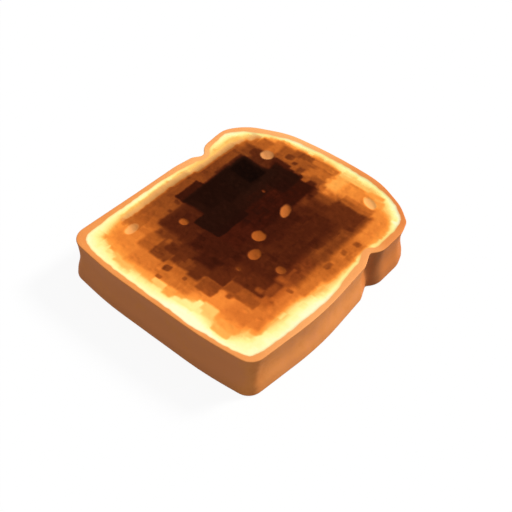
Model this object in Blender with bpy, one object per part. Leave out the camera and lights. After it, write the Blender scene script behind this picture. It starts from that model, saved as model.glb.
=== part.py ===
"""Burnt toast: one thick slice of tin-loaf bread, lying flat on one of its cut faces.

Frame: +X across the slice, +Y towards the domed top of the loaf, +Z up.
The origin is the middle of the slice's box, on the surface that the slice rests on.
"""

import math

import bmesh
import bpy
from mathutils import Matrix, Vector

MM = 0.001

# Driving sizes, in millimetres.
THICKNESS = 21.0
EDGE_ROUND = 0.6  # radius where the outer crust turns into a cut face
RIM_WIDTH = 3.2  # crust seen end-on round a cut face
STEP_WIDTH = 0.9  # slope from the crust rim down to the crumb
CRUMB_SINK = 0.5  # the toasted crumb has shrunk below the rim by this
CRUMB_DISH = 0.5  # and by this much more in the middle of the face
PORE_DEPTH = 1.3
CHORD_ERROR = 0.04  # how far a facet of the outline may lie inside its arc

# The crust drew in between the two cut faces as it dried, as (share of the height, inset).
WAIST = [(0.20, 0.1), (0.38, 1.1), (0.57, 1.4), (0.76, 0.95), (0.90, 0.4)]

# The bread knife leaned a little: the lower cut face is this much larger and further over.
LOWER_SCALE = 1.009
LOWER_SHIFT = Vector((-0.4, -0.9))

# The corners of the slice's outline as (x, y, rounding radius), counterclockwise.
# x is from the middle of the slice and y from the base of the loaf.
OUTLINE_CORNERS = [
    (-54.7, 3.2, 8.0),  # left foot
    (-28.6, 0.1, 180.0),  # the base bows down a little
    (28.5, 0.0, 180.0),
    (51.6, 2.6, 7.0),  # right foot
    (55.8, 42.0, 145.0),  # right side, fullest below its middle
    (53.1, 73.8, 6.0),
    (49.8, 81.2, 0.8),  # right notch, where the dough rose over the tin
    (53.3, 85.1, 9.0),  # right lobe
    (53.1, 101.0, 12.0),
    (50.7, 107.5, 5.0),
    (43.0, 114.1, 27.0),
    (27.1, 121.1, 42.0),
    (0.0, 123.1, 235.0),  # crown of the dome
    (-27.7, 120.6, 39.0),
    (-47.8, 111.6, 25.0),
    (-54.2, 101.7, 11.0),  # left lobe
    (-52.9, 86.0, 8.5),
    (-47.7, 81.7, 2.7),  # left notch
    (-51.4, 76.9, 5.0),
    (-52.9, 67.0, 30.0),
    (-53.4, 42.0, 300.0),  # left side, nearly straight
]

# Burst air cells in the upper face, as (x, y, half length, half width, turn in degrees).
PORES = [
    (7.2, 57.7, 3.4, 3.2, 0.0),
    (13.2, 48.1, 3.4, 3.0, 90.0),
    (5.8, 77.6, 4.4, 2.6, 118.0),
    (-25.0, 101.2, 3.3, 3.2, 0.0),
    (31.3, 106.2, 4.3, 2.3, -28.0),
    (-37.8, 24.4, 3.6, 2.4, 98.0),
    (-24.0, 43.0, 2.3, 2.1, 0.0),
    (27.3, 48.5, 2.5, 2.1, 25.0),
]

CRUST_BROWN = (0.45, 0.19, 0.08, 1.0)


def corner_arc(before, corner, after, radius):
    """Points of the arc that rounds a corner of the outline, in order."""
    back = (before - corner).normalized()
    on = (after - corner).normalized()
    half_angle = back.angle(on) / 2
    centre = corner + (back + on).normalized() * (radius / math.sin(half_angle))
    reach = radius / math.tan(half_angle)
    start = corner + back * reach - centre
    end = corner + on * reach - centre
    turn = math.atan2(start.x * end.y - start.y * end.x, start.dot(end))
    facet_turn = 2 * math.acos(1 - CHORD_ERROR / radius)
    facets = max(1, math.ceil(abs(turn) / facet_turn))
    return [centre + Matrix.Rotation(turn * i / facets, 2) @ start for i in range(facets + 1)]


def slice_outline():
    """The upper cut face's outline, as one counterclockwise loop of points."""
    corners = [Vector((x, y)) for x, y, _ in OUTLINE_CORNERS]
    points = []
    for i, corner in enumerate(corners):
        after = corners[(i + 1) % len(corners)]
        points += corner_arc(corners[i - 1], corner, after, OUTLINE_CORNERS[i][2])
    return points


def middle_of(points):
    """The average of some points."""
    return sum(points, Vector((0, 0))) / len(points)


def inset(points, distance):
    """A counterclockwise loop of points moved inwards."""
    moved = []
    for i, point in enumerate(points):
        along = (points[(i + 1) % len(points)] - points[i - 1]).normalized()
        moved.append(point + Vector((-along.y, along.x)) * distance)
    return moved


def edge_profile():
    """The rounded edge between crust and cut face, as (inset, distance from the cut face)."""
    turns = [math.radians(angle) for angle in (0, 30, 60, 90)]
    return [(EDGE_ROUND * (1 - math.cos(a)), EDGE_ROUND * (1 - math.sin(a))) for a in turns]


def lower_rings(lower):
    """Rings of the lower edge as (points, height), from the flat underside out to the crust."""
    return [(inset(lower, inwards), up) for inwards, up in reversed(edge_profile())]


def waist_rings(lower, upper):
    """Rings of the crust between the two edges, as (points, height)."""
    rings = []
    for share, inwards in WAIST:
        level = [a.lerp(b, share) for a, b in zip(lower, upper)]
        rings.append((inset(level, inwards), THICKNESS * share))
    return rings


def upper_rings(upper):
    """Rings of the upper face as (points, height), from the crust in over the rim and crumb."""
    profile = edge_profile()
    profile += [(RIM_WIDTH, 0.0), (RIM_WIDTH + STEP_WIDTH, CRUMB_SINK)]
    rings = [(inset(upper, inwards), THICKNESS - down) for inwards, down in profile]
    crumb_edge = rings[-1][0]
    middle = middle_of(crumb_edge)
    for share in (0.25, 0.5, 0.75):
        down = CRUMB_SINK + CRUMB_DISH * (1 - (1 - share) ** 2)
        rings.append(([p.lerp(middle, share) for p in crumb_edge], THICKNESS - down))
    return rings


def slice_mesh():
    """The whole slice as one closed mesh, standing on z = 0."""
    upper = slice_outline()
    middle = middle_of(upper)
    lower = [middle + (p - middle) * LOWER_SCALE + LOWER_SHIFT for p in upper]
    bm = bmesh.new()
    loops = []
    for points, height in lower_rings(lower) + waist_rings(lower, upper) + upper_rings(upper):
        loops.append([bm.verts.new(Vector((*p, height)) * MM) for p in points])
    for below, above in zip(loops, loops[1:]):
        for i in range(len(below)):
            j = (i + 1) % len(below)
            bm.faces.new((below[i], below[j], above[j], above[i]))
    bm.faces.new(loops[0][::-1])
    bm.faces.new(loops[-1])
    mesh = bpy.data.meshes.new("toast")
    bm.to_mesh(mesh)
    bm.free()
    return mesh


def pore_cutter(index, x, y, half_length, half_width, turn):
    """A flattened ball at the crumb's surface that cuts one burst air cell."""
    bm = bmesh.new()
    bmesh.ops.create_uvsphere(bm, u_segments=18, v_segments=10, radius=1.0)
    size = Matrix.Diagonal((half_length * MM, half_width * MM, PORE_DEPTH * MM, 1.0))
    place = Matrix.Translation(Vector((x, y, THICKNESS - CRUMB_SINK - CRUMB_DISH)) * MM)
    bm.transform(place @ Matrix.Rotation(math.radians(turn), 4, "Z") @ size)
    mesh = bpy.data.meshes.new(f"pore_cutter_{index}")
    bm.to_mesh(mesh)
    bm.free()
    cutter = bpy.data.objects.new(mesh.name, mesh)
    cutter.hide_render = True
    cutter.display_type = "WIRE"
    bpy.context.scene.collection.objects.link(cutter)
    return cutter


def cut_pores(toast):
    """Cuts each burst air cell out of the upper face."""
    for index, pore in enumerate(PORES):
        cut = toast.modifiers.new(f"pore_{index}", "BOOLEAN")
        cut.operation = "DIFFERENCE"
        cut.object = pore_cutter(index, *pore)
        cut.object.parent = toast


def crust_material():
    """Brown baked crust, for the whole slice."""
    material = bpy.data.materials.new("toast_crust")
    material.use_nodes = True
    shader = material.node_tree.nodes["Principled BSDF"]
    shader.inputs["Base Color"].default_value = CRUST_BROWN
    shader.inputs["Roughness"].default_value = 0.85
    shader.inputs["Metallic"].default_value = 0.0
    return material


def build_toast():
    """The slice, placed so that the middle of its box is over the origin."""
    mesh = slice_mesh()
    mesh.materials.append(crust_material())
    mesh.shade_smooth()
    mesh.set_sharp_from_angle(angle=math.radians(40))
    xs = [v.co.x for v in mesh.vertices]
    ys = [v.co.y for v in mesh.vertices]
    toast = bpy.data.objects.new("toast", mesh)
    toast.location = (-(min(xs) + max(xs)) / 2, -(min(ys) + max(ys)) / 2, 0.0)
    bpy.context.scene.collection.objects.link(toast)
    cut_pores(toast)


for old in list(bpy.data.objects):
    bpy.data.objects.remove(old, do_unlink=True)
build_toast()
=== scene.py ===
"""The looks of the burnt toast: a fine mesh of the slice, its crumb, crust and scorch marks."""

import math

import bmesh
import bpy
import numpy as np
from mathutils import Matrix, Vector
from mathutils.geometry import delaunay_2d_cdt
from mathutils.kdtree import KDTree


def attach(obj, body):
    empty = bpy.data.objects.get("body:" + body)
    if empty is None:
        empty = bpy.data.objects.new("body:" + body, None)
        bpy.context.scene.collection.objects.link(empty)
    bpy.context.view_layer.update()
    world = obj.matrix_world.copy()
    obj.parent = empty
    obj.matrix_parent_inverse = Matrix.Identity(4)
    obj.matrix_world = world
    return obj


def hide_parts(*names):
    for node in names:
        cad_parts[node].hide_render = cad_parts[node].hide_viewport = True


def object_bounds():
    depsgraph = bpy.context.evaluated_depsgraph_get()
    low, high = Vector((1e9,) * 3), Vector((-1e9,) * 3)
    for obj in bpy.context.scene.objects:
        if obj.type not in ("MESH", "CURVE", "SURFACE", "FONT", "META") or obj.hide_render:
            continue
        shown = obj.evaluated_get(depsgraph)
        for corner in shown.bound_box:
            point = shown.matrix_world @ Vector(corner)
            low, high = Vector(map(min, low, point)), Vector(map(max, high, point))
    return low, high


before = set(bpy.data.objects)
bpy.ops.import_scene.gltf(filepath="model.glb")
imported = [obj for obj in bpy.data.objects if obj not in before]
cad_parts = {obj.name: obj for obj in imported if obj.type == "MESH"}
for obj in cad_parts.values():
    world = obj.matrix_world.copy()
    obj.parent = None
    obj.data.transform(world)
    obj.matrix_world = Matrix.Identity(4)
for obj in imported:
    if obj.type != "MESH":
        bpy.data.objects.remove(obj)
cad_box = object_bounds()

MM = 0.001

THICKNESS = (cad_box[1].z - cad_box[0].z) / MM

# Shares of the height at which the CAD's wall is read. It is at its full size at the first and
# the last, and draws in to a waist between them.
WALL_CUTS = [0.05, 0.12, 0.20, 0.29, 0.38, 0.48, 0.57, 0.67, 0.76, 0.83, 0.90, 0.97]

# How finely the mesh is made. Lengths here and below are in millimetres.
AROUND = 720  # points along the crust
WALL_STEP = 1.2
UPPER_GRAIN = 0.5  # spacing of the points on the upper cut face
LOWER_GRAIN = 0.9
RIM_RINGS = 3  # rings of points that the crust's rim takes on a cut face
ROW_SHARE = 0.866  # a row of triangles' height, as a share of the points' spacing
SHAKE = 0.15  # how far the points are shaken, as a share of their spacing

UPPER_ROUND = 0.4  # radius where the outer crust turns into the upper cut face
LOWER_ROUND = 0.8
CUT_SHARE = 0.7  # share of the upper rounding's height that is cut crust, not outer skin
WALL_INSET = 0.15  # room for the outer crust's unevenness inside the CAD's wall
WALL_EASE = 2.5  # the unevenness comes in over this distance from each cut face
WAIST_BLUR = 1.6  # the waist is averaged over this far up and down
STEP_WIDTH = 1.1  # slope from the crust's rim down to the crumb
STEP_RINGS = (0.4, STEP_WIDTH)  # how far past the rim the upper face has rings of points
CRUMB_SINK = 0.22  # the toasted crumb has shrunk below the rim by this
CRUMB_DISH = 0.60  # and by this much more in the middle of the face
DISH_REACH = 40.0  # how far in from the rim the dish is at its full depth
UNDER_SINK = 0.25  # the underside has shrunk less, under the slice's own weight
RIM_SAG = 0.06  # how far the rim's face lies below the top of the slice
RIM_SAG_WIDTH = 0.6  # it comes down to that over this distance

# Random unevenness comes in layers that are added up. A layer ends with its seed.
# Smooth blotches, as (strength, width, seed).
RIPPLES = [(0.07, 5.1, 71), (0.03, 1.6, 72)]  # the upper crumb's height
RIPPLE_SHARE = 0.6  # how much of these it has where it isn't charred,
CHAR_RIPPLING = 1.2  # and how much more where it is
CHAR_CRACKLE = [(0.03, 0.9, 73)]  # finer ones, only where it is charred
RIM_WAVES = [(0.05, 6.0, 74)]  # the height of the rim's upper face
UNDER_EDGE = [(2.0, 9.0, 82)]  # where the underside's golden band ends
UNDER_MOTTLE = [(0.08, 6.0, 83), (0.056, 2.6, 84)]  # the underside's toasting level
UNDER_RIPPLES = [(0.06, 3.0, 85)]  # the height of the underside's crumb
# Waves round the crust, as (strength, how many, seed) for the rim's width, and as (strength, how
# many, height of each, seed) for the wall.
RIM_WIDTH_WAVES = [(0.22, 70, 5), (0.18, 190, 6)]
WALL_WAVES = [(0.14, 48, 7.0, 91), (0.05, 150, 2.4, 92)]
# Small soft-edged boxes over the upper face, as (strength, how many, smallest, largest, seed).
EDGE_FLECKS = [(1.3, 300, 3.0, 11.0, 18), (0.5, 1500, 1.0, 3.5, 12)]  # where the bands' edges lie
LEVEL_FLECKS = [(0.026, 700, 1.2, 7.0, 14), (0.014, 1500, 0.6, 2.4, 15)]  # the toasting level
FLECKED = (0.30, 0.56)  # toasting levels over which the level's flecks come in,
FLECKS_FADE = [(0.25, 0.70, 0.82), (0.50, 0.84, 0.92)]  # and fade again, as (share, from, to)
FLECK_X = (-50.0, 50.0)  # where their middles lie
FLECK_Y = (4.0, 119.0)
FLECK_SOFTNESS = (0.4, 1.2)
FLECK_CORNER = 0.3
# The crumb's open cells, as (how many, smallest, largest, depth, seed).
UPPER_CELLS = (2600, 0.55, 1.9, 0.24, 31)
LOWER_CELLS = (1500, 0.9, 2.2, 0.4, 32)
CELL_FLATNESS = (0.55, 1.0)  # their widths, as shares of their lengths
CELL_DEPTHS = (0.6, 1.2)  # their depths, as shares of what their sizes give
CELL_SMALLNESS = 2.5  # above 1, more of them are small than large
CELLS_OPEN = (0.15, 0.50)  # toasting levels over which the upper ones reach their full depth
PALE_CELLS = 0.15  # the share of it that they have in paler crumb
BOWL_SHAPE = 0.7  # of cells and pores: 0.5 would be half a ball and 1 a shallower dish
# How far ragged edges stray, as (reach, over a width). Each kind of edge takes four seeds, from
# the one named for it here.
STRAYING = [(0.45, 6.3), (0.2, 1.7)]
MARK_EDGES = 11
SOOT_EDGES = 16
PORE_EDGES = 57
UNDER_MARK_EDGES = 81
# Seeds of the two cut faces' points.
UPPER_POINTS = 21
LOWER_POINTS = 22

# The slice beside its outline, at places counterclockwise round it: x and y, the width of the
# crust's rim, how light the rim's tan is, the palest toasting level beside it, how far in from
# the outline the crumb has turned yellow and then orange, and how light the outer crust is. That
# last lightness is partly the crust's own browner colour round the back and partly painted light:
# painted shade in the notches and at the front right corner, and a painted lit copy of the
# colour along the sunlit right wall. x is from the middle of the slice and y from the base of the
# loaf, in millimetres. Lightness runs from 0 to 1, and a toasting level from 0, pale crumb, to 1,
# black char.
CRUST_PLACES = [
    (-54.4, 9.0, 4.4, 0.34, 0.03, 12.8, 14.6, 1.0),
    (-49.0, 2.8, 3.9, 0.34, 0.02, 13.0, 14.8, 1.0),
    (-43.0, 1.7, 2.4, 0.36, 0.03, 10.2, 11.8, 1.0),
    (-37.0, 1.1, 2.4, 0.36, 0.04, 8.2, 10.0, 1.0),
    (-29.0, 0.4, 2.8, 0.35, 0.06, 6.2, 9.4, 1.0),
    (-23.0, 0.2, 2.3, 0.35, 0.05, 6.2, 9.0, 1.0),
    (-15.0, 0.0, 2.5, 0.35, 0.04, 7.6, 9.2, 1.0),
    (-5.5, 0.0, 2.3, 0.35, 0.03, 8.0, 9.4, 1.0),
    (0.8, 0.0, 1.7, 0.34, 0.02, 7.2, 9.0, 1.0),
    (8.0, 0.0, 1.9, 0.36, -0.03, 9.0, 10.9, 1.0),
    (13.0, 0.0, 1.8, 0.36, -0.04, 10.8, 13.0, 1.0),
    (20.0, 0.0, 1.2, 0.36, -0.04, 10.8, 13.0, 1.0),
    (28.0, 0.3, 1.8, 0.38, 0.00, 6.4, 10.6, 1.0),
    (36.0, 0.8, 1.6, 0.42, 0.02, 6.4, 11.4, 1.0),
    (43.5, 1.6, 2.2, 0.42, 0.03, 12.6, 15.0, 1.0),
    # From here up the right wall, the outer crust's lightness is painted light: a dip for painted
    # shade at the front right corner, then a painted lit copy of the colour where the sun falls.
    (51.0, 4.5, 3.2, 0.46, 0.02, 12.8, 16.0, 0.87),
    (52.8, 13.0, 2.5, 0.60, 0.02, 11.4, 14.6, 0.90),
    (53.6, 21.0, 2.3, 0.66, 0.02, 9.9, 12.2, 0.92),
    (54.4, 29.0, 2.6, 0.70, 0.01, 9.6, 13.0, 0.92),
    (55.0, 38.0, 2.6, 0.72, 0.00, 10.8, 12.4, 0.92),
    (55.1, 45.0, 2.4, 0.72, 0.00, 8.8, 11.6, 0.92),
    (54.9, 51.0, 1.9, 0.72, 0.01, 6.0, 10.4, 0.92),
    (54.3, 60.0, 2.8, 0.65, 0.08, 5.0, 7.2, 0.92),
    (53.2, 72.0, 3.5, 0.60, 0.11, 5.9, 7.1, 0.92),
    # The right notch: the outer crust's lightness drops here as painted shade in the crease.
    (50.6, 79.6, 2.9, 0.60, 0.14, 3.9, 4.6, 0.72),
    (50.9, 83.2, 2.9, 0.56, 0.14, 4.0, 5.0, 0.34),
    (53.2, 90.0, 3.1, 0.30, 0.15, 4.1, 5.2, 0.72),
    (53.2, 97.0, 3.2, 0.24, 0.13, 5.2, 6.4, 0.74),
    (51.8, 105.0, 2.9, 0.14, 0.00, 7.2, 9.2, 0.74),
    (46.0, 111.7, 1.7, 0.05, 0.00, 6.2, 9.4, 0.74),
    (39.0, 115.8, 1.7, 0.06, 0.02, 5.2, 10.8, 0.74),
    (31.0, 119.3, 2.6, 0.12, 0.08, 5.4, 7.8, 0.74),
    (22.0, 121.3, 2.7, 0.20, 0.05, 6.2, 9.6, 0.74),
    (11.0, 122.1, 2.8, 0.28, 0.04, 7.6, 10.8, 0.74),
    (4.0, 122.3, 2.8, 0.50, 0.09, 5.0, 7.6, 0.74),
    (-5.0, 122.3, 2.6, 0.74, 0.10, 4.3, 6.6, 0.74),
    (-18.0, 121.5, 2.9, 0.92, 0.02, 5.6, 7.3, 0.74),
    (-27.0, 120.2, 3.4, 0.90, 0.02, 5.6, 6.8, 0.74),
    (-36.0, 117.0, 3.3, 0.85, 0.13, 4.6, 6.2, 0.74),
    (-45.0, 112.4, 3.7, 0.78, 0.05, 6.9, 9.4, 0.74),
    (-52.1, 105.0, 2.7, 0.70, 0.02, 7.8, 12.0, 0.74),
    (-53.4, 100.6, 2.4, 0.66, 0.03, 7.2, 10.4, 0.74),
    (-53.8, 96.0, 2.3, 0.62, 0.04, 6.2, 9.6, 0.74),
    # The left notch: the outer crust's lower lightness here is painted shade in the crease.
    (-53.0, 88.0, 2.9, 0.80, 0.12, 6.2, 8.8, 0.70),
    (-48.9, 82.0, 2.6, 0.98, 0.20, 3.2, 5.8, 0.60),
    (-51.6, 75.6, 3.6, 0.85, 0.18, 4.4, 7.6, 0.85),
    (-52.9, 66.0, 3.1, 0.68, 0.12, 5.0, 7.1, 1.0),
    (-53.2, 52.0, 2.4, 0.48, 0.04, 4.7, 6.8, 1.0),
    (-53.5, 38.0, 2.6, 0.40, 0.02, 5.2, 7.6, 1.0),
    (-53.8, 29.0, 2.8, 0.38, 0.05, 5.8, 8.2, 1.0),
    (-54.1, 20.0, 3.2, 0.36, 0.05, 7.5, 9.6, 1.0),
    (-54.3, 14.0, 3.8, 0.35, 0.04, 9.8, 12.2, 1.0),
]

PLACES_SOFTENING = 12  # how often the turns between these places are smoothed

# Burst air cells in the upper face, as (x, y, half length, half width, turn in degrees, depth,
# toasting level of the floor, how much of the floor is crust tan instead).
PORES = [
    (6.6, 58.4, 3.4, 3.2, 0.0, 0.8, 0.595, 0.0),
    (12.5, 48.6, 3.3, 3.0, 90.0, 0.8, 0.61, 0.0),
    (5.1, 78.3, 4.2, 2.3, 118.0, 0.8, 0.58, 0.08),
    (-25.7, 101.7, 3.3, 3.0, 0.0, 0.6, 0.67, 0.59),
    (31.0, 106.5, 4.3, 2.2, -28.0, 0.6, 0.25, 0.76),
    (-38.2, 24.4, 3.6, 2.3, 98.0, 0.6, 0.35, 0.7),
    (-24.3, 43.3, 2.3, 1.9, 0.0, 0.6, 0.61, 0.0),
    (27.0, 48.8, 2.4, 2.0, 25.0, 0.6, 0.63, 0.0),
    (-10.5, 81.8, 1.1, 0.8, -15.0, 0.4, 0.70, 0.0),
    (12.8, 37.6, 1.4, 0.8, 0.0, 0.4, 0.66, 0.0),
]

PORE_TONE = 0.80  # the tan of the cells' floors, on the rim's scale
PORE_DULLNESS = 0.1  # on the scale of DULL_PATCHES
PORE_RAGGEDNESS = 0.6  # as a share of the marks'
PORE_SOFTNESS = 0.9

# Toasting levels of the upper face where the crumb turns yellow, turns orange, and well inside
# the orange edge.
YELLOW_LEVEL = 0.18
ORANGE_LEVEL = 0.37
FIELD_LEVEL = 0.46
FIELD_WIDTH = 5.0  # how far in from the orange edge the field's level is reached
PALE_WIDTH = 0.5  # how far in from the rim the crumb stays at its palest
PALE_HOLD = 2.2  # how slow it is to leave its palest, where 1 is an even turn to yellow
LEAST_TURN = 0.5  # the shortest turn from the palest to yellow
RAGGED_WIDTH = 1.5  # how far in from the palest crumb the bands' edges are fully ragged
BAND_STEPS = 3  # the turn from yellow to orange is in this many soft steps
STEP_TURN = (0.1875, 0.8125)  # the part of a step over which it turns
RIM_EDGE = (-0.15, 0.75)  # the tan turns into crumb between these distances past the rim
CHARRED = (0.6, 0.9)  # levels over which the crumb turns to char
CHAR_CELL_DEPTH = 0.3  # where the char's open cells are this deep,
CHAR_CELL_LEVEL = 0.02  # they are less burnt by this

# Toasting levels of the underside beside the rim, further in and in the middle, and how far in
# from the outline it turns to the second and to the third.
UNDER_LEVELS = (0.29, 0.46, 0.59)
UNDER_BROWNER = (5.0, 14.0)
UNDER_MIDDLE = (20.0, 35.0)

MARK_CORNER = 0.8  # how round the corners of scorch marks and dull patches are

# Scorch marks in the order that they lie over each other, each a soft-edged box:
# (left, right, near, far, level, softness).
PALE_MARKS = [
    (-48.0, -41.0, 27.0, 54.5, 0.27, 1.2),
    (-47.2, -41.0, 54.5, 71.0, 0.22, 1.2),
    (-47.0, -38.0, 70.0, 101.0, 0.25, 3.0),
    (-45.4, -38.0, 98.0, 102.4, 0.27, 2.6),
    (-43.0, -38.0, 101.4, 107.4, 0.22, 2.6),
    (8.5, 29.0, 111.8, 114.0, 0.27, 1.8),
    (-30.8, -21.0, 6.4, 9.4, 0.29, 1.4),
    (-37.2, -33.6, 7.8, 10.2, 0.18, 1.0),
    (-10.2, -2.8, 8.4, 11.3, 0.25, 1.0),
    (-2.4, 2.6, 6.8, 12.0, 0.36, 1.6),
    (3.4, 15.0, 7.4, 9.4, 0.14, 1.2),
    (7.4, 15.0, 8.0, 10.8, 0.13, 1.4),
    (11.8, 15.0, 8.0, 12.4, 0.13, 1.4),
    (15.0, 23.8, 9.2, 15.2, 0.25, 1.6),
    (12.2, 15.4, 8.0, 14.2, 0.12, 1.2),
    (15.0, 17.8, 8.4, 11.0, 0.13, 1.4),
    (38.4, 41.8, 12.0, 16.4, 0.24, 1.4),
    (38.8, 42.6, 14.4, 34.0, 0.36, 1.4),
    (41.2, 43.4, 15.6, 24.0, 0.29, 1.2),
    (25.4, 35.6, 5.6, 10.0, 0.31, 1.0),
    (26.4, 36.4, 9.4, 13.0, 0.37, 1.6),
]
ORANGE_FIELD = [
    (-43.6, -28.0, 26.0, 56.0, 0.52, 2.1),
    (-43.8, -29.5, 31.0, 56.0, 0.59, 2.7),
    (-43.6, -29.5, 35.5, 56.0, 0.63, 2.4),
    (-43.4, -31.0, 41.0, 56.0, 0.65, 2.7),
    (-43.4, -33.0, 50.0, 71.0, 0.67, 2.1),
    (-41.8, -33.0, 70.0, 86.0, 0.69, 2.4),
    (-41.6, -33.0, 84.0, 98.0, 0.67, 2.7),
    (-40.8, -33.0, 96.0, 104.0, 0.63, 4.5),
    (-37.8, -24.0, 97.0, 107.4, 0.59, 5.1),
    (-35.2, -24.0, 103.0, 110.8, 0.59, 3.0),
    (-27.0, -15.0, 99.0, 113.0, 0.62, 3.0),
    (-17.0, 8.4, 99.0, 114.4, 0.62, 3.0),
    (-27.0, -15.0, 11.6, 21.0, 0.50, 3.4),
    (-30.0, -22.5, 19.8, 36.0, 0.59, 3.0),
    (-16.0, 7.0, 11.8, 24.0, 0.51, 2.4),
    (-14.0, 9.0, 17.0, 24.0, 0.56, 4.5),
    (12.0, 31.0, 15.8, 23.0, 0.43, 2.1),
    (24.0, 42.0, 16.4, 60.0, 0.49, 4.5),
    (29.0, 36.6, 28.0, 60.0, 0.58, 4.5),
    (38.0, 44.2, 43.0, 56.0, 0.51, 2.0),
    (36.0, 46.4, 56.0, 84.0, 0.54, 4.5),
    (36.0, 45.0, 84.0, 102.0, 0.46, 4.5),
    (16.0, 36.0, 98.0, 108.8, 0.49, 4.5),
    (30.0, 43.0, 97.0, 104.6, 0.44, 4.5),
]
BROWN_FIELD = [
    (-32.4, 33.6, 34.6, 99.5, 0.75, 2.1),
    (-22.8, -12.8, 19.6, 37.0, 0.68, 1.5),
    (-19.0, 15.5, 25.5, 38.0, 0.75, 2.4),
    (-13.0, 5.4, 22.2, 29.0, 0.70, 2.4),
    (-1.6, 4.8, 20.8, 29.0, 0.73, 2.4),
    (5.6, 15.4, 17.9, 26.0, 0.645, 1.4),
    (15.6, 32.4, 24.6, 31.6, 0.605, 1.4),
    (15.6, 21.8, 25.4, 31.6, 0.655, 1.8),
    (19.4, 22.0, 22.2, 26.0, 0.62, 1.5),
    (30.0, 38.2, 45.5, 67.0, 0.68, 5.1),
    (31.0, 38.2, 65.0, 99.0, 0.68, 4.0),
    (19.5, 35.5, 86.0, 100.4, 0.73, 1.8),
    (-32.0, -19.0, 94.6, 102.6, 0.76, 2.4),
    (-29.0, -19.0, 30.0, 37.0, 0.70, 3.0),
    (15.0, 31.0, 31.3, 36.0, 0.74, 1.5),
]
DARK_BROWN = [
    (-5.0, 5.0, 29.5, 36.0, 0.83, 4.5),
    (9.0, 28.5, 41.0, 87.0, 0.785, 3.8),
    (6.2, 13.4, 55.0, 80.0, 0.815, 3.6),
    (-14.0, 10.0, 34.0, 62.0, 0.815, 4.5),
    (-12.0, 6.4, 60.0, 99.8, 0.85, 3.4),
    (-30.8, -14.0, 35.0, 53.0, 0.785, 3.0),
]
CHAR = [
    (-35.8, -32.0, 76.0, 93.8, 0.80, 1.6),
    (-38.6, -32.0, 52.0, 66.8, 0.84, 1.0),
    (-34.0, -12.0, 52.6, 94.0, 0.905, 2.4),
    (-16.0, -8.4, 64.0, 94.0, 0.88, 2.4),
    (-33.5, -17.0, 57.0, 93.0, 0.935, 3.0),
    (-20.6, -5.8, 46.0, 66.0, 0.905, 0.9),
    (-21.4, -11.6, 97.0, 103.2, 0.80, 1.6),
    (-12.6, -3.4, 97.0, 101.4, 0.81, 1.6),
    (-19.4, -3.0, 87.0, 100.2, 0.895, 2.4),
    (-32.6, -18.4, 81.8, 92.2, 0.98, 1.8),
]
LIGHTER_PATCHES = [
    (-28.4, -23.6, 103.0, 113.4, 0.53, 2.4),
    (-4.2, -0.2, 101.5, 107.6, 0.55, 1.8),
    (-2.6, 0.4, 98.6, 102.8, 0.62, 1.6),
    (-2.0, 7.6, 104.6, 110.0, 0.56, 2.4),
    (9.0, 18.4, 92.6, 100.0, 0.67, 3.6),
    (9.0, 18.4, 97.6, 103.4, 0.56, 3.9),
    (15.4, 27.0, 101.6, 110.4, 0.44, 3.6),
    (8.0, 15.6, 102.0, 111.8, 0.34, 3.9),
    (6.2, 8.6, 105.0, 107.4, 0.42, 1.6),
    (10.4, 13.6, 98.6, 101.2, 0.48, 1.8),
    (33.0, 36.6, 105.6, 110.2, 0.37, 1.8),
    (5.8, 9.6, 85.0, 93.0, 0.73, 2.1),
    (33.0, 36.2, 81.4, 84.0, 0.66, 1.4),
    (31.6, 34.0, 66.0, 72.0, 0.66, 1.4),
    (25.6, 29.4, 33.0, 35.4, 0.63, 2.1),
    (29.6, 33.8, 33.4, 42.0, 0.66, 2.4),
    (28.6, 35.6, 43.2, 46.4, 0.61, 3.3),
    (-21.4, -19.2, 28.6, 31.2, 0.62, 1.5),
    (-19.0, -15.4, 30.6, 33.4, 0.70, 1.5),
]
DARKER_SPOTS = [
    (-44.2, -42.0, 23.4, 30.4, 0.49, 1.2),
    (-38.0, -31.0, 94.8, 102.6, 0.68, 3.0),
    (-33.6, -30.4, 97.0, 101.6, 0.75, 1.4),
    (0.6, 7.0, 99.4, 104.2, 0.64, 2.6),
    (0.8, 5.2, 98.6, 101.6, 0.80, 2.0),
    (16.4, 25.0, 110.4, 111.8, 0.47, 1.2),
    (26.4, 35.0, 110.8, 113.2, 0.37, 1.4),
    (19.6, 36.0, 99.4, 103.8, 0.54, 1.8),
    (19.6, 36.0, 98.6, 101.6, 0.60, 1.8),
    (-8.2, -4.8, 100.0, 105.2, 0.70, 1.6),
    (6.6, 9.0, 90.2, 93.8, 0.79, 1.4),
    (7.4, 9.6, 108.6, 110.4, 0.47, 1.4),
    (7.2, 10.0, 100.2, 102.6, 0.58, 1.6),
    (-14.0, -6.0, 110.4, 114.0, 0.66, 1.0),
    (-5.6, 8.0, 110.6, 113.8, 0.54, 1.0),
    (-11.4, -7.9, 16.2, 19.8, 0.68, 0.8),
    (-10.8, -7.7, 11.2, 13.2, 0.60, 0.8),
    (-0.9, 1.2, 17.4, 19.6, 0.66, 0.8),
    (40.8, 43.8, 80.4, 83.2, 0.64, 1.0),
    (39.8, 42.4, 72.8, 75.4, 0.64, 1.0),
    (39.6, 42.2, 61.5, 66.0, 0.64, 1.2),
    (-18.2, -14.2, 106.2, 109.4, 0.71, 1.2),
    (-13.0, -10.6, 104.6, 106.6, 0.72, 1.0),
    (-36.4, -33.2, 49.0, 51.0, 0.71, 1.0),
    (-34.6, -32.6, 43.0, 45.0, 0.73, 1.0),
    (36.0, 39.2, 41.0, 43.0, 0.62, 1.0),
    (34.6, 36.6, 31.6, 33.2, 0.60, 1.0),
]
SCORCH_MARKS = (
    PALE_MARKS + ORANGE_FIELD + BROWN_FIELD + DARK_BROWN + CHAR + LIGHTER_PATCHES + DARKER_SPOTS
)

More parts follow.
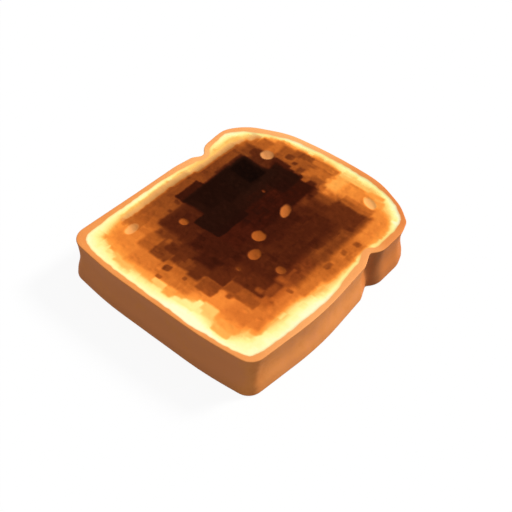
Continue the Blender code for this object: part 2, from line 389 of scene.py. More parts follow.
# Soot over the pale band on the left, as (left, right, near, far, darkness): it thickens from
# nothing at the left edge to this darkness at the right one.
SOOT_STRIPS = [
    (-47.4, -43.4, 25.6, 38.0, 0.36),
    (-48.0, -43.4, 38.0, 46.0, 0.56),
    (-48.5, -43.2, 46.0, 60.0, 0.70),
    (-47.8, -43.0, 60.0, 68.0, 0.76),
    (-46.0, -41.8, 68.0, 76.0, 0.76),
    (-45.2, -41.0, 76.0, 87.0, 0.78),
    (-45.6, -40.8, 87.0, 98.0, 0.76),
    (-44.4, -39.4, 98.0, 102.6, 0.58),
    (-42.6, -36.2, 102.6, 109.8, 0.42),
]
SOOT_END = -36.0  # no soot to the right of here
SOOT_SOFTNESS = 2.6  # of the strips' near and far ends
SOOT_FADE = (0.46, 0.66)  # toasting levels over which soot stops showing
SOOTY_TAN = 0.7  # how much of the crumb under the soot is tan
SOOTY_TAN_SOOT = 0.2  # how much soot that takes
SOOTY_TAN_FADE = (0.34, 0.46)  # toasting levels over which that tan ends
SOOTY_TONE = 1.0  # that tan, on the rim's scale
SOOTY_TONE_SOOT = 0.1  # how much soot turns the rim's tan to it

# Where the browned crumb is duller than its usual colour (above 0) or redder (below 0), as
# (left, right, near, far, dullness, softness).
DULL_PATCHES = [
    (-60.0, -13.0, 40.0, 130.0, 0.2, 9.0),
    (-60.0, 24.0, 100.0, 130.0, 0.2, 6.0),
    (-36.0, -14.0, 74.0, 96.0, 0.8, 4.0),
    (-9.0, 5.0, 46.0, 94.0, -0.6, 4.0),
    (8.0, 60.0, 0.0, 44.0, -0.3, 9.0),
    (28.0, 37.0, 30.0, 62.0, -0.6, 5.0),
]

# How the crumb's colour turns as it toasts.
CRUMB_COLOURS = [
    (0.00, (255, 253, 204)),
    (0.04, (255, 251, 178)),
    (0.10, (255, 243, 152)),
    (0.16, (255, 226, 134)),
    (0.24, (255, 200, 106)),
    (0.32, (255, 172, 78)),
    (0.40, (253, 148, 58)),
    (0.48, (225, 123, 47)),
    (0.56, (190, 98, 35)),
    (0.64, (150, 74, 28)),
    (0.72, (105, 46, 19)),
    (0.80, (74, 28, 13)),
    (0.84, (58, 21, 10)),
    (0.88, (43, 18, 10)),
    (1.00, (15, 6, 4)),
]
SOOT_COLOUR = (98, 42, 16)

# What the browned crumb's colour is multiplied by, from its reddest to its dullest.
TINTS = [
    (0.0, (1.0, 0.84, 0.90, 1.0)),
    (0.5, (1.0, 1.0, 1.0, 1.0)),
    (1.0, (1.0, 1.16, 1.18, 1.0)),
]

TINTED = (0.300, 0.425)  # toasting levels over which the tint comes in

# The cut crust's colour from its darkest tone to its lightest.
RIM_COLOURS = [
    (0.00, (226, 127, 62)),
    (0.35, (240, 150, 77)),
    (0.70, (250, 168, 98)),
    (1.00, (255, 181, 109)),
]

# The outer crust's colour from its darkest, where painted shade fills the notch, to its lightest.
# The stops near 0.91 are a painted lit copy for the sunlit right wall.
SKIN_AND_SHADE_COLOURS = [
    (0.00, (146, 86, 48)),
    (0.50, (192, 116, 64)),
    (0.80, (222, 130, 62)),
    (0.91, (240, 152, 81)),
    (1.00, (236, 149, 92)),
]

# Layers of noise in the materials, as (strength, size in millimetres, detail).
RIM_MOTTLE = [(0.25, 7.0, 3.0), (0.14, 0.9, 2.0)]
SKIN_MOTTLE = [(0.2, 9.0, 3.0), (0.08, 1.6, 2.0)]
CRUMB_GRAIN = [(0.035, 2.2, 3.0), (0.03, 0.6, 2.0)]
CRUMB_BUMP = [(1.0, 1.0, 3.0), (1.0, 0.35, 2.0)]
CRUST_BUMP = [(1.0, 1.8, 3.0), (1.0, 0.5, 2.0)]
BUMP_DEPTH = 0.12  # the height of the bumps' texture, before a material's own strength

AMBIENT = 0.40  # the soft light from all round
SUN_SHARE = 0.62  # the light that the sun adds on a level surface
SUN_TILT = (0.56, 1.18)  # how far the sun leans to +X and +Y, against 1 upwards
SUN_WIDTH = 14.0  # how wide the sun looks, in degrees
FLOOR_SIDE = 6000.0
FLOOR_BOUNCE = 0.30  # how pale the floor is for the light that it bounces on to the slice
FLOOR_GLOW = 0.92  # how much of the floor's white needs no light, so that its shadow is faint
WHITE = (1.0, 1.0, 1.0, 1.0)

# The photographer's view: from the right foot of the slice, and well above it.
CAMERA_AZIMUTH = 41.0  # degrees
CAMERA_ELEVATION = 46.28
CAMERA_DISTANCE = 439.15
CAMERA_TARGET = (0.93, 2.65, 0.0)  # the point that it looks at
CAMERA_LENS = 67.58
CAMERA_SENSOR = 36.0


def mix(a, b, share):
    """A value that goes from a to b as a share goes from 0 to 1."""
    return a + (b - a) * share


def ease(share):
    """0 below 0, 1 above 1 and a smooth turn between."""
    share = np.clip(share, 0.0, 1.0)
    return share * share * (3.0 - 2.0 * share)


def rise(value, low, high):
    """0 below a low value, 1 above a high one and a smooth turn between."""
    return ease((value - low) / (high - low))


def covering(inside, softness):
    """How much a soft-edged shape covers points, from their signed distance inside its edge."""
    return ease(inside / softness + 0.5)


def layered(pattern, x, y, layers):
    """A random pattern's layers added up: each is a strength and then what the pattern takes."""
    return sum(strength * pattern(x, y, *rest) for strength, *rest in layers)


def blotches(x, y, width, seed):
    """Smooth random values from -1 to 1 in squarish patches about a width across."""
    size = 128
    table = np.random.default_rng(seed).uniform(-1.0, 1.0, (size, size))
    column, across = np.divmod(x / width, 1.0)
    row, along = np.divmod(y / width, 1.0)
    column = column.astype(int)
    row = row.astype(int)
    across = ease(across)
    near = mix(table[row % size, column % size], table[row % size, (column + 1) % size], across)
    row += 1
    far = mix(table[row % size, column % size], table[row % size, (column + 1) % size], across)
    return mix(near, far, ease(along))


def straying(x, y, seed):
    """How far a ragged edge strays at each point."""
    layers = [(reach, width, seed + i) for i, (reach, width) in enumerate(STRAYING)]
    return layered(blotches, x, y, layers)


def warped(x, y, seed):
    """The same points, moved a little to and fro so that straight edges turn ragged."""
    return x + straying(x, y, seed), y + straying(x, y, seed + len(STRAYING))


def inside_polygon(x, y, polygon):
    """Signed distance into a polygon, positive inside."""
    nearest = np.full(x.shape, np.inf)
    inside = np.zeros(x.shape, bool)
    for (x0, y0), (x1, y1) in zip(polygon, polygon[1:] + polygon[:1]):
        along_x = x1 - x0
        along_y = y1 - y0
        share = ((x - x0) * along_x + (y - y0) * along_y) / (along_x**2 + along_y**2)
        share = np.clip(share, 0.0, 1.0)
        gap = np.hypot(x - x0 - share * along_x, y - y0 - share * along_y)
        nearest = np.minimum(nearest, gap)
        crosses = (y0 > y) != (y1 > y)
        if y1 != y0:
            inside ^= crosses & (x < x0 + (y - y0) * along_x / along_y)
    return np.where(inside, nearest, -nearest)


def inside_box(x, y, left, right, near, far, corner):
    """Signed distance into a box with rounded corners, positive inside."""
    out_x = np.abs(x - (left + right) / 2) - (right - left) / 2 + corner
    out_y = np.abs(y - (near + far) / 2) - (far - near) / 2 + corner
    outside = np.hypot(np.maximum(out_x, 0.0), np.maximum(out_y, 0.0))
    return corner - outside - np.minimum(np.maximum(out_x, out_y), 0.0)


def across_ellipse(off_x, off_y, half_length, half_width, turn):
    """How far out in an ellipse offsets from its middle lie: 0 is its middle and 1 its edge."""
    cos, sin = math.cos(turn), math.sin(turn)
    along = off_x * cos + off_y * sin
    aside = off_y * cos - off_x * sin
    return np.hypot(along / half_length, aside / half_width)


def flecks(x, y, count, smallest, largest, seed):
    """Random values from about -1 to 1, as many small soft-edged boxes laid over each other."""
    rng = np.random.default_rng(seed)
    total = np.zeros(x.shape)
    for _ in range(count):
        middle_x = rng.uniform(*FLECK_X)
        middle_y = rng.uniform(*FLECK_Y)
        half_x, half_y = mix(smallest, largest, rng.uniform(size=2) ** 2) / 2
        softness = rng.uniform(*FLECK_SOFTNESS)
        value = rng.uniform(-1.0, 1.0)
        reach = largest / 2 + softness
        near = np.flatnonzero((np.abs(x - middle_x) < reach) & (np.abs(y - middle_y) < reach))
        box = (middle_x - half_x, middle_x + half_x, middle_y - half_y, middle_y + half_y)
        cover = covering(inside_box(x[near], y[near], *box, FLECK_CORNER), softness)
        total[near] = mix(total[near], value, cover)
    return total


def marked(values, x, y, marks):
    """Values with soft-edged boxes (left, right, near, far, value, softness) laid over them."""
    for left, right, near, far, value, softness in marks:
        corner = min(MARK_CORNER, (right - left) / 3, (far - near) / 3)
        inside = inside_box(x, y, left, right, near, far, corner)
        values = mix(values, value, covering(inside, softness))
    return values


def toasting(x, y, gap, place):
    """The toasting level over the upper face, without the fine grain, at points a gap inside
    the outline and nearest to a place on it."""
    yellow = yellow_by[place]
    orange = orange_by[place]
    pale = rim_width[place] + PALE_WIDTH
    ragged = rise(gap, pale, pale + RAGGED_WIDTH)
    gap = gap + ragged * layered(flecks, x, y, EDGE_FLECKS)
    pale = np.minimum(pale, yellow - LEAST_TURN)
    to_yellow = np.clip((gap - pale) / (yellow - pale), 0.0, 1.0)
    to_orange = np.clip((gap - yellow) / (orange - yellow), 0.0, 1.0)
    step, in_step = np.divmod(BAND_STEPS * to_orange, 1.0)
    to_orange = (step + rise(in_step, *STEP_TURN)) / BAND_STEPS
    to_field = np.clip((gap - orange) / FIELD_WIDTH, 0.0, 1.0)
    level = mix(palest[place], YELLOW_LEVEL, to_yellow**PALE_HOLD)
    level += (ORANGE_LEVEL - YELLOW_LEVEL) * to_orange + (FIELD_LEVEL - ORANGE_LEVEL) * to_field
    wx, wy = warped(x, y, MARK_EDGES)
    level = marked(level, wx, wy, SCORCH_MARKS)
    flecked = rise(level, *FLECKED)
    for share, low, high in FLECKS_FADE:
        flecked *= 1 - share * rise(level, low, high)
    return level + flecked * layered(flecks, wx, wy, LEVEL_FLECKS)


def soot(x, y, level):
    """How much dark soot lies over the crumb, from 0 to 1, where it isn't browned."""
    wx, wy = warped(x, y, SOOT_EDGES)
    cover = np.zeros(x.shape)
    for left, right, near, far, darkness in SOOT_STRIPS:
        ends = covering(wy - near, SOOT_SOFTNESS) * covering(far - wy, SOOT_SOFTNESS)
        cover += darkness * ends * np.clip((wx - left) / (right - left), 0.0, 1.0)
    return cover * (wx < SOOT_END) * (1 - rise(level, *SOOT_FADE))


def area_of(loop):
    """The area inside a loop, negative if it runs clockwise."""
    following = np.roll(loop, -1, axis=0)
    return np.sum(loop[:, 0] * following[:, 1] - loop[:, 1] * following[:, 0]) / 2


def length_of(loop):
    """The length of a closed loop."""
    return np.linalg.norm(np.roll(loop, -1, axis=0) - loop, axis=1).sum()


def cut_loop(height):
    """The CAD slice's outline at a height, as counterclockwise points in millimetres."""
    bm = bmesh.new()
    bm.from_mesh(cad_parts["toast"].data)
    bmesh.ops.remove_doubles(bm, verts=bm.verts, dist=1e-6)
    whole = bm.verts[:] + bm.edges[:] + bm.faces[:]
    cut = bmesh.ops.bisect_plane(bm, geom=whole, plane_co=(0, 0, height * MM), plane_no=(0, 0, 1))
    next_to = {}
    for edge in cut["geom_cut"]:
        if isinstance(edge, bmesh.types.BMEdge):
            a, b = edge.verts
            next_to.setdefault(a, []).append(b)
            next_to.setdefault(b, []).append(a)
    loops = []
    while next_to:
        walked = [next(iter(next_to))]
        while next_to.get(walked[-1]):
            onward = next_to.pop(walked[-1])
            walked.append(onward[0] if onward[0] in next_to else onward[1])
        loops.append(np.array([v.co.xy for v in walked[:-1]]) / MM)
    bm.free()
    outline = max(loops, key=lambda loop: abs(area_of(loop)))
    return outline if area_of(outline) > 0 else outline[::-1]


def evenly(loop, count):
    """A loop as so many points an equal way apart, from its lower left corner on."""
    loop = np.roll(loop, -np.argmin(loop.sum(1)), axis=0)
    closed = np.vstack([loop, loop[:1]])
    along = np.concatenate([[0.0], np.cumsum(np.linalg.norm(np.diff(closed, axis=0), axis=1))])
    places = np.linspace(0.0, along[-1], count, endpoint=False)
    return np.stack([np.interp(places, along, closed[:, i]) for i in range(2)], axis=1)


def evenly_between(loop, parts):
    """A loop with each side split into so many parts."""
    following = np.roll(loop, -1, axis=0)
    shares = np.arange(parts) / parts
    return (loop[:, None] + (following - loop)[:, None] * shares[None, :, None]).reshape(-1, 2)


def softened(loop, passes):
    """A closed loop of points or values with its corners smoothed away."""
    for _ in range(passes):
        loop = (np.roll(loop, 1, axis=0) + 2 * loop + np.roll(loop, -1, axis=0)) / 4
    return loop


def outward(loop):
    """The outward unit normal at each point of a counterclockwise loop."""
    along = np.roll(loop, -1, axis=0) - np.roll(loop, 1, axis=0)
    normals = np.stack([along[:, 1], -along[:, 0]], axis=1)
    return normals / np.linalg.norm(normals, axis=1, keepdims=True)


wall_heights = np.array(WALL_CUTS) * THICKNESS
wall_cuts = [cut_loop(height) for height in wall_heights]
foot_loop = softened(evenly(wall_cuts[0], AROUND), 1)
lip_loop = softened(evenly(wall_cuts[-1], AROUND), 1)

# A closed loop's length shrinks by 2 pi times its inset, which gives the waist.
cut_lengths = np.array([length_of(loop) for loop in wall_cuts])
full_lengths = np.interp(wall_heights, wall_heights[[0, -1]], cut_lengths[[0, -1]])
waist = (full_lengths - cut_lengths) / (2 * math.pi)


def wall_loop(height):
    """The slice's outline at a height."""
    share = (height - wall_heights[0]) / (wall_heights[-1] - wall_heights[0])
    full = mix(foot_loop, lip_loop, share)
    nearby = height + np.linspace(-WAIST_BLUR, WAIST_BLUR, 9)
    return full - outward(full) * np.interp(nearby, wall_heights, waist).mean()


upper_loop = wall_loop(THICKNESS)
lower_loop = wall_loop(0.0)
loaf_base = upper_loop[:, 1].min()  # the y of the loaf's base on the upper face


def round_the_crust(count, seed, height=0.0, blotch_height=1.0):
    """Smooth random values for each point round the crust, which meet where the ends join."""
    rows = 64
    table = np.random.default_rng(seed).uniform(-1.0, 1.0, (rows, count))
    column, across = np.divmod(np.arange(AROUND) * count / AROUND, 1.0)
    row, up = divmod(height / blotch_height, 1.0)
    column = column.astype(int)
    values = mix(table[int(row) % rows], table[(int(row) + 1) % rows], ease(up))
    return mix(values[column], values[(column + 1) % count], ease(across))


def round_from_places(column):
    """One column of CRUST_PLACES, carried smoothly round the crust from place to place."""
    places = np.array(CRUST_PLACES)
    gaps = upper_loop[:, None] - places[None, :, :2] - (0.0, loaf_base)
    nearest = np.argmin(np.hypot(gaps[..., 0], gaps[..., 1]), axis=0)
    order = np.argsort(nearest)
    values = np.interp(np.arange(AROUND), nearest[order], places[order, column], period=AROUND)
    return softened(values, PLACES_SOFTENING)


# The last column is the outer crust's own tone with painted shade and painted light in it.
rim_width, rim_tone, palest, yellow_by, orange_by, skin_tone_and_shade = map(round_from_places, range(2, 8))
rim_width += sum(strength * round_the_crust(*rest) for strength, *rest in RIM_WIDTH_WAVES)


def tree_of(points):
    """A search tree over flat points."""
    tree = KDTree(len(points))
    for i, (x, y) in enumerate(points):
        tree.insert((x, y, 0.0), i)
    tree.balance()
    return tree


def nearest_crust(points, loop):
    """For each point, its distance from a loop and the nearest point of the loop."""
    parts = 4
    tree = tree_of(evenly_between(loop, parts))
    found = [tree.find((x, y, 0.0)) for x, y in points]
    gaps = np.array([gap for _, _, gap in found])
    places = np.array([i for _, i, _ in found]) // parts
    return gaps, places


def lattice(loop, inset, spacing, seed):
    """Points of a slightly shaken triangular lattice inside a loop, clear of its edge."""
    low = loop.min(0)
    high = loop.max(0)
    rows = int((high[1] - low[1]) / (spacing * ROW_SHARE)) + 1
    columns = int((high[0] - low[0]) / spacing) + 1
    row, column = np.mgrid[0:rows, 0:columns]
    x = low[0] + (column + 0.5 * (row % 2)) * spacing
    y = low[1] + row * spacing * ROW_SHARE
    points = np.stack([x.ravel(), y.ravel()], axis=1)
    points += np.random.default_rng(seed).uniform(-SHAKE, SHAKE, points.shape) * spacing
    polygon = [tuple(p) for p in loop[::6]]  # every sixth point is near enough
    inside = inside_polygon(points[:, 0], points[:, 1], polygon)
    return points[inside > inset]


def triangulated(loop, rings, spacing, seed):
    """The inside of a loop as points and triangles: first the points of rings at distances in
    from it, then a lattice inside them."""
    normals = outward(loop)
    ringed = [loop - normals * np.asarray(inset).reshape(-1, 1) for inset in rings]
    clearance = 0.45 * spacing
    inner = lattice(ringed[-1], clearance, spacing, seed)
    points = np.vstack(ringed + [inner])
    edges = []
    for ring in range(len(rings)):
        start = ring * AROUND
        edges += [(start + i, start + (i + 1) % AROUND) for i in range(AROUND)]
    only_inside = 1
    result = delaunay_2d_cdt([Vector(p) for p in points], edges, [], only_inside, 1e-7)
    made, _, faces, came_from = result[:4]
    if len(made) != len(points):
        raise RuntimeError("the cut face's rings run into each other")
    source = [ids[0] for ids in came_from]
    triangles = np.array([[source[i] for i in face] for face in faces])
    a, b, c = (points[triangles[:, i]] for i in range(3))
    turn = (b - a)[:, 0] * (c - a)[:, 1] - (b - a)[:, 1] * (c - a)[:, 0]
    triangles[turn < 0] = triangles[turn < 0][:, ::-1]
    return points, triangles


def sunk(points, pits):
    """How deep each point lies in a list of pits (x, y, half length, half width, turn, depth)."""
    tree = tree_of(points)
    depth = np.zeros(len(points))
    for x, y, half_length, half_width, turn, pit_depth in pits:
        near = [i for _, i, _ in tree.find_range((x, y, 0.0), half_length)]
        if near:
            off = points[near] - (x, y)
            out = across_ellipse(off[:, 0], off[:, 1], half_length, half_width, turn)
            bowl = pit_depth * (1 - np.clip(out, 0, 1) ** 2) ** BOWL_SHAPE
            depth[near] = np.maximum(depth[near], bowl)
    return depth


def crumb_cells(loop, count, smallest, largest, depth, seed):
    """Random open cells of the crumb inside a loop, more of them small than large."""
    rng = np.random.default_rng(seed)
    places = rng.uniform(loop.min(0), loop.max(0), (count, 2))
    size = mix(smallest, largest, rng.uniform(0, 1, count) ** CELL_SMALLNESS)
    flatness = rng.uniform(*CELL_FLATNESS, count)
    turn = rng.uniform(0, math.pi, count)
    deep = depth * size / largest * rng.uniform(*CELL_DEPTHS, count)
    return list(zip(places[:, 0], places[:, 1], size, size * flatness, turn, deep))


def rings_of(rounding, slope):
    """How far in from its outline a cut face has rings of points: over the rim, and down its
    slope at distances past the rim."""
    over_rim = [np.full(AROUND, rounding), mix(rounding, rim_width, 0.5), rim_width]
    return over_rim + [rim_width + past_rim for past_rim in slope]


def cut_face(points, height, triangles, looks):
    """A cut face with its relief and looks, ready to be joined to the outer crust."""
    return {
        "points": np.column_stack([points, height]),
        "faces": triangles,
        "rim": (triangles < RIM_RINGS * AROUND).all(axis=1),
        "skin": np.zeros(len(points)),
        "skin_tone_and_shade": looks["tone"],  # unused where skin is 0
        **looks,
    }


def upper_looks(x, y, level, past_rim, place):
    """What the materials read on the upper face, at points with a toasting level."""
    sooty = soot(x, y, level)
    sooty_tan = SOOTY_TAN * rise(sooty, 0.0, SOOTY_TAN_SOOT) * (1 - rise(level, *SOOTY_TAN_FADE))
    looks = {
        "toasting": level,
        "soot": sooty,
        "crusted": np.maximum(1 - rise(past_rim, *RIM_EDGE), sooty_tan),
        "tone": mix(rim_tone[place], SOOTY_TONE, rise(sooty, 0.0, SOOTY_TONE_SOOT)),
        "dullness": marked(np.zeros(len(x)), x, y, DULL_PATCHES),
    }
    wx, wy = warped(x, y, PORE_EDGES)
    wx = mix(x, wx, PORE_RAGGEDNESS)
    wy = mix(y, wy, PORE_RAGGEDNESS)
    for px, py, half_length, half_width, turn, _, floor_level, floor_tan in PORES:
        out = across_ellipse(wx - px, wy - py, half_length, half_width, math.radians(turn))
        cover = covering((1.0 - out) * min(half_length, half_width), PORE_SOFTNESS)
        looks["toasting"] = mix(looks["toasting"], floor_level, cover)
        looks["crusted"] = mix(looks["crusted"], floor_tan, cover)
        looks["tone"] = mix(looks["tone"], PORE_TONE, cover)
        looks["dullness"] = mix(looks["dullness"], PORE_DULLNESS, cover)
    return looks


def upper_face():
    """The scorched cut face."""
    rings = rings_of(UPPER_ROUND, STEP_RINGS)
    points, triangles = triangulated(upper_loop, rings, UPPER_GRAIN, UPPER_POINTS)
    x = points[:, 0]
    y = points[:, 1] - loaf_base
    gap, place = nearest_crust(points, upper_loop)
    past_rim = gap - rim_width[place]
    into_crumb = rise(past_rim, 0.0, STEP_WIDTH)
    level = toasting(x, y, gap, place)
    looks = upper_looks(x, y, level, past_rim, place)
    charred = rise(looks["toasting"], *CHARRED)

    pits = [(px, py + loaf_base, a, b, math.radians(t), d) for px, py, a, b, t, d, _, _ in PORES]
    pores = sunk(points, pits)
    cells = sunk(points, crumb_cells(upper_loop, *UPPER_CELLS))
    cells *= into_crumb * mix(PALE_CELLS, 1.0, rise(level, *CELLS_OPEN))
    ripple = layered(blotches, x, y, RIPPLES) * (RIPPLE_SHARE + CHAR_RIPPLING * charred)
    ripple += charred * layered(blotches, x, y, CHAR_CRACKLE)
    dish = CRUMB_DISH * rise(past_rim, 0.0, DISH_REACH)
    down = into_crumb * (CRUMB_SINK + dish + ripple + pores) + cells
    sag = RIM_SAG + layered(blotches, x, y, RIM_WAVES)
    down += (1 - into_crumb) * sag * rise(gap, UPPER_ROUND, UPPER_ROUND + RIM_SAG_WIDTH)
    spared = CHAR_CELL_LEVEL * charred * np.clip(cells / CHAR_CELL_DEPTH, 0, 1)
    looks["toasting"] = looks["toasting"] - spared
    return cut_face(points, THICKNESS - down, triangles, looks)


def lower_face():
    """The underside: browned evenly, not scorched."""
    rings = rings_of(LOWER_ROUND, (STEP_WIDTH,))
    points, triangles = triangulated(lower_loop, rings, LOWER_GRAIN, LOWER_POINTS)
    x = points[:, 0]
    y = points[:, 1] - loaf_base
    gap, place = nearest_crust(points, lower_loop)
    past_rim = gap - rim_width[place]
    into_crumb = rise(past_rim, 0.0, STEP_WIDTH)
    golden, browner, middle = UNDER_LEVELS
    browned = rise(gap + layered(blotches, x, y, UNDER_EDGE), *UNDER_BROWNER)
    level = mix(golden, browner, browned) + (middle - browner) * rise(gap, *UNDER_MIDDLE)
    level += browned * layered(blotches, *warped(x, y, UNDER_MARK_EDGES), UNDER_MOTTLE)
    cells = sunk(points, crumb_cells(lower_loop, *LOWER_CELLS)) * into_crumb
    height = into_crumb * (UNDER_SINK + layered(blotches, x, y, UNDER_RIPPLES)) + cells
    looks = {
        "toasting": level,
        "soot": np.zeros(len(x)),
        "crusted": 1 - rise(past_rim, *RIM_EDGE),
        "tone": rim_tone[place],
        "dullness": np.zeros(len(x)),
    }
    return cut_face(points, height, triangles[:, ::-1], looks)


def edge_profile(radius):
    """A rounded edge from the wall towards a cut face, as (inset, distance from the face)."""
    turns = [math.radians(angle) for angle in (22.5, 45.0, 67.5)]
    return [(radius * (1 - math.cos(a)), radius * (1 - math.sin(a))) for a in turns]


def outer_crust():
    """The wall between the cut faces, as rings of points from the lower one up, and its looks."""
    straight = THICKNESS - LOWER_ROUND - UPPER_ROUND
    steps = round(straight / WALL_STEP)
    profile = list(reversed(edge_profile(LOWER_ROUND)))
    profile += [(0.0, LOWER_ROUND + straight * i / steps) for i in range(steps + 1)]
    profile += [(inset, THICKNESS - down) for inset, down in edge_profile(UPPER_ROUND)]
    rings = []
    for inset, height in profile:
        loop = wall_loop(height)
        depth = WALL_INSET
        for strength, count, blotch_height, seed in WALL_WAVES:
            depth = depth + strength * round_the_crust(count, seed, height, blotch_height)
        depth = inset + ease(min(height, THICKNESS - height) / WALL_EASE) * depth
        loop = loop - outward(loop) * depth[:, None]
        rings.append(np.column_stack([loop, np.full(AROUND, height)]))
    none = np.zeros(len(rings) * AROUND)
    skin_top = THICKNESS - CUT_SHARE * UPPER_ROUND
    return {
        "points": np.vstack(rings),
        "toasting": none,
        "soot": none,
        "crusted": none,
        "tone": np.tile(rim_tone, len(rings)),
        "dullness": none,
        "skin": np.repeat([float(height < skin_top) for _, height in profile], AROUND),
        "skin_tone_and_shade": np.tile(skin_tone_and_shade, len(rings)),
    }


def slice_piece():
    """The whole slice as one object, with what its materials read as attributes."""
    lower = lower_face()
    upper = upper_face()
    wall = outer_crust()
    wall_start = len(lower["points"])
    upper_start = wall_start + len(wall["points"])
    starts = [0, *range(wall_start, upper_start + 1, AROUND)]
    here = np.arange(AROUND)
    onward = np.roll(here, -1)
    faces = lower["faces"].tolist()
    for below, above in zip(starts, starts[1:]):
        faces += np.stack([below + here, below + onward, above + onward, above + here], 1).tolist()
    faces += (upper["faces"] + upper_start).tolist()
    points = np.vstack([lower["points"], wall["points"], upper["points"]])
    mesh = bpy.data.meshes.new("toast_slice")
    mesh.from_pydata((points * MM).tolist(), [], faces)
    mesh.update()

    for name in ("toasting", "soot", "crusted", "dullness", "tone", "skin", "skin_tone_and_shade"):
        layer = mesh.attributes.new(name, "FLOAT", "POINT")
        values = np.concatenate([lower[name], wall[name], upper[name]])
        layer.data.foreach_set("value", values.astype(np.float32))
    wall_faces = np.ones((len(starts) - 1) * AROUND, bool)
    crust = np.concatenate([lower["rim"], wall_faces, upper["rim"]])
    mesh.materials.append(crust_material())
    mesh.materials.append(crumb_material())
    mesh.polygons.foreach_set("material_index", (~crust).astype(np.int32))
    mesh.shade_smooth()
    piece = bpy.data.objects.new("toast_slice", mesh)
    bpy.context.scene.collection.objects.link(piece)
    return piece


def screen_colour(red, green, blue):
    """A colour given as it shows on a screen, from 0 to 255, as a shader takes it."""
    channels = [c / 255 for c in (red, green, blue)]
    linear = [c / 12.92 if c <= 0.04045 else ((c + 0.055) / 1.055) ** 2.4 for c in channels]
    return (*linear, 1.0)


def screen_stops(stops):
    """Ramp stops with their colours as a shader takes them."""
    return [(position, screen_colour(*colour)) for position, colour in stops]


def new_material(name, roughness, specular):
    """A material with a Principled shader, as (material, node tree, shader)."""
    material = bpy.data.materials.new(name)
    material.use_nodes = True
    tree = material.node_tree
    shader = tree.nodes["Principled BSDF"]
    shader.inputs["Roughness"].default_value = roughness
    shader.inputs["Specular IOR Level"].default_value = specular
    return material, tree, shader


def fill(tree, socket, value):
    """Gives a node's input a value, or a link if the value is another node's socket."""
    if isinstance(value, bpy.types.NodeSocket):
        tree.links.new(value, socket)
    else:
        socket.default_value = value


def add(tree, kind, inputs=(), **settings):
    """A new node with its settings, and its inputs given as values or as sockets to link."""
    node = tree.nodes.new(kind)
    for name, value in settings.items():
        setattr(node, name, value)
    for name, value in dict(inputs).items():
        fill(tree, node.inputs[name], value)
    return node


def math_node(tree, operation, a, b):
    """The result socket of a Math node."""
    return add(tree, "ShaderNodeMath", {0: a, 1: b}, operation=operation).outputs[0]


def share_node(tree, value, low, high):
    """The socket of how far a value is from a low one to a high one, from 0 to 1."""
    settings = {"Value": value, "From Min": low, "From Max": high}
    return add(tree, "ShaderNodeMapRange", settings).outputs["Result"]


def attribute(tree, name):
    """The socket of one of the piece's stored numbers."""
    return add(tree, "ShaderNodeAttribute", attribute_name=name).outputs["Fac"]


def noise(tree, layers):
    """The socket of layers of noise about zero, added up. Each is (strength, size, detail)."""
    place = add(tree, "ShaderNodeTexCoord").outputs["Object"]
    total = 0.0
    for strength, size, detail in layers:
        settings = {"Vector": place, "Scale": 1 / (size * MM), "Detail": detail}
        texture = add(tree, "ShaderNodeTexNoise", settings)
        centred = math_node(tree, "SUBTRACT", texture.outputs["Fac"], 0.5)
        total = math_node(tree, "ADD", total, math_node(tree, "MULTIPLY", centred, strength))
    return total


def ramp(tree, factor, stops):
    """The colour socket of a ramp over (position, colour) stops."""
    node = add(tree, "ShaderNodeValToRGB", {"Fac": factor})
    elements = node.color_ramp.elements
    while len(elements) < len(stops):
        elements.new(1.0)
    for element, (position, colour) in zip(elements, stops):
        element.position = position
        element.color = colour
    return node.outputs["Color"]


def mixed_colour(tree, share, a, b, blend="MIX"):
    """The colour socket of a mix of two colours, each a socket or a value."""
    node = add(tree, "ShaderNodeMix", {"Factor": share}, data_type="RGBA", blend_type=blend)
    sockets = [socket for socket in node.inputs if socket.type == "RGBA"]
    for socket, value in zip(sockets, (a, b)):
        fill(tree, socket, value)
    return next(socket for socket in node.outputs if socket.type == "RGBA")


def roughen(tree, shader, layers, strength):
    """Gives a shader's surface a fine bump from layers of noise."""
    settings = {"Height": noise(tree, layers), "Strength": strength, "Distance": BUMP_DEPTH * MM}
    bump = add(tree, "ShaderNodeBump", settings)
    tree.links.new(bump.outputs["Normal"], shader.inputs["Normal"])


def cut_crust_colour(tree):
    """The colour socket of crust that the bread knife cut through."""
    tone = math_node(tree, "ADD", attribute(tree, "tone"), noise(tree, RIM_MOTTLE))
    return ramp(tree, tone, screen_stops(RIM_COLOURS))


def crumb_material():
    """Toasted crumb, from pale to black by the toasting level, with an open fine grain."""
    material, tree, shader = new_material("toasted_crumb", roughness=0.92, specular=0.0)
    level = attribute(tree, "toasting")
    grained = math_node(tree, "ADD", level, noise(tree, CRUMB_GRAIN))
    colour = ramp(tree, grained, screen_stops(CRUMB_COLOURS))
    browned = share_node(tree, level, *TINTED)
    tint = ramp(tree, share_node(tree, attribute(tree, "dullness"), -1.0, 1.0), TINTS)
    colour = mixed_colour(tree, browned, colour, tint, "MULTIPLY")
    colour = mixed_colour(tree, attribute(tree, "crusted"), colour, cut_crust_colour(tree))
    colour = mixed_colour(tree, attribute(tree, "soot"), colour, screen_colour(*SOOT_COLOUR))
    tree.links.new(colour, shader.inputs["Base Color"])
    roughen(tree, shader, CRUMB_BUMP, strength=0.15)
    return material


def crust_material():
    """Baked crust: light tan where it is cut, browner over its outer skin. The skin's colour
    also holds painted shade in the notches and at the front right corner, and a painted lit
    copy on the right wall.
    """
    material, tree, shader = new_material("baked_crust", roughness=0.62, specular=0.10)
    # The skin's place on its ramp: its own tone, with painted shade in the notches and a painted
    # lit copy on the right wall, plus noise.
    light = math_node(tree, "ADD", attribute(tree, "skin_tone_and_shade"), noise(tree, SKIN_MOTTLE))
    skin = ramp(tree, light, screen_stops(SKIN_AND_SHADE_COLOURS))
    colour = mixed_colour(tree, attribute(tree, "skin"), cut_crust_colour(tree), skin)
    tree.links.new(colour, shader.inputs["Base Color"])
    roughen(tree, shader, CRUST_BUMP, strength=0.20)
    return material


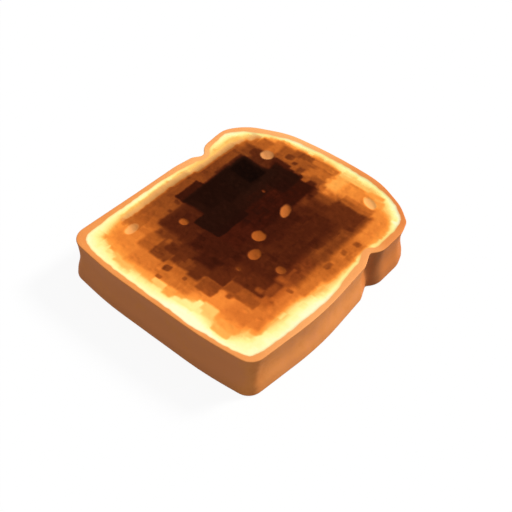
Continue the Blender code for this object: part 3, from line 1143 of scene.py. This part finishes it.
def camera_or_else(tree, seen, otherwise):
    """Mixes two shaders: one for the camera's own and mirrored rays, one for all other rays."""
    path = add(tree, "ShaderNodeLightPath")
    rays = math_node(tree, "MAXIMUM", path.outputs["Is Camera Ray"], path.outputs["Is Glossy Ray"])
    rays = math_node(tree, "MAXIMUM", rays, path.outputs["Is Transmission Ray"])
    return add(tree, "ShaderNodeMixShader", {0: rays, 1: otherwise, 2: seen}).outputs[0]


def make_floor():
    """A plain pale floor, darker for the light that it bounces on to the slice."""
    half = FLOOR_SIDE / 2 * MM
    corners = [(-half, -half, 0), (half, -half, 0), (half, half, 0), (-half, half, 0)]
    mesh = bpy.data.meshes.new("floor")
    mesh.from_pydata(corners, [], [(0, 1, 2, 3)])
    material = bpy.data.materials.new("floor")
    material.use_nodes = True
    tree = material.node_tree
    tree.nodes.remove(tree.nodes["Principled BSDF"])
    lit = add(tree, "ShaderNodeBsdfDiffuse", {"Color": WHITE}).outputs[0]
    glow = add(tree, "ShaderNodeEmission", {"Color": WHITE, "Strength": 1.0}).outputs[0]
    white = add(tree, "ShaderNodeMixShader", {0: FLOOR_GLOW, 1: lit, 2: glow}).outputs[0]
    grey = (FLOOR_BOUNCE, FLOOR_BOUNCE, FLOOR_BOUNCE, 1.0)
    bounce = add(tree, "ShaderNodeBsdfDiffuse", {"Color": grey}).outputs[0]
    surface = tree.nodes["Material Output"].inputs["Surface"]
    tree.links.new(camera_or_else(tree, white, bounce), surface)
    mesh.materials.append(material)
    floor = bpy.data.objects.new("floor", mesh)
    bpy.context.scene.collection.objects.link(floor)


def make_light():
    """Soft light from all round, and a broad soft sun above, behind and right of the slice."""
    world = bpy.data.worlds.new("studio")
    bpy.context.scene.world = world
    world.use_nodes = True
    tree = world.node_tree
    tree.nodes.clear()
    seen = add(tree, "ShaderNodeBackground", {"Color": WHITE, "Strength": 1.0}).outputs[0]
    lit = add(tree, "ShaderNodeBackground", {"Color": WHITE, "Strength": AMBIENT}).outputs[0]
    add(tree, "ShaderNodeOutputWorld", {"Surface": camera_or_else(tree, seen, lit)})
    light = bpy.data.lights.new("sun", "SUN")
    towards = Vector((*SUN_TILT, 1.0))
    light.energy = SUN_SHARE * math.pi * towards.length
    light.angle = math.radians(SUN_WIDTH)
    sun = bpy.data.objects.new("sun", light)
    sun.rotation_mode = "QUATERNION"
    sun.rotation_quaternion = towards.to_track_quat("Z", "Y")
    bpy.context.scene.collection.objects.link(sun)


def make_camera():
    """The camera, at the photographer's view."""
    azimuth = math.radians(CAMERA_AZIMUTH)
    elevation = math.radians(CAMERA_ELEVATION)
    back = Vector((
        math.sin(azimuth) * math.cos(elevation),
        -math.cos(azimuth) * math.cos(elevation),
        math.sin(elevation),
    ))
    data = bpy.data.cameras.new("camera")
    data.sensor_width = CAMERA_SENSOR
    data.lens = CAMERA_LENS
    data.clip_start = 0.01
    data.clip_end = 20.0
    camera = bpy.data.objects.new("camera", data)
    camera.location = Vector(CAMERA_TARGET) * MM + back * (CAMERA_DISTANCE * MM)
    camera.rotation_mode = "QUATERNION"
    camera.rotation_quaternion = (-back).to_track_quat("-Z", "Y")
    bpy.context.scene.collection.objects.link(camera)
    bpy.context.scene.camera = camera


make_camera()
make_light()
make_floor()
toast = slice_piece()
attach(toast, "root")
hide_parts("toast")
bpy.context.scene.view_settings.view_transform = "Standard"
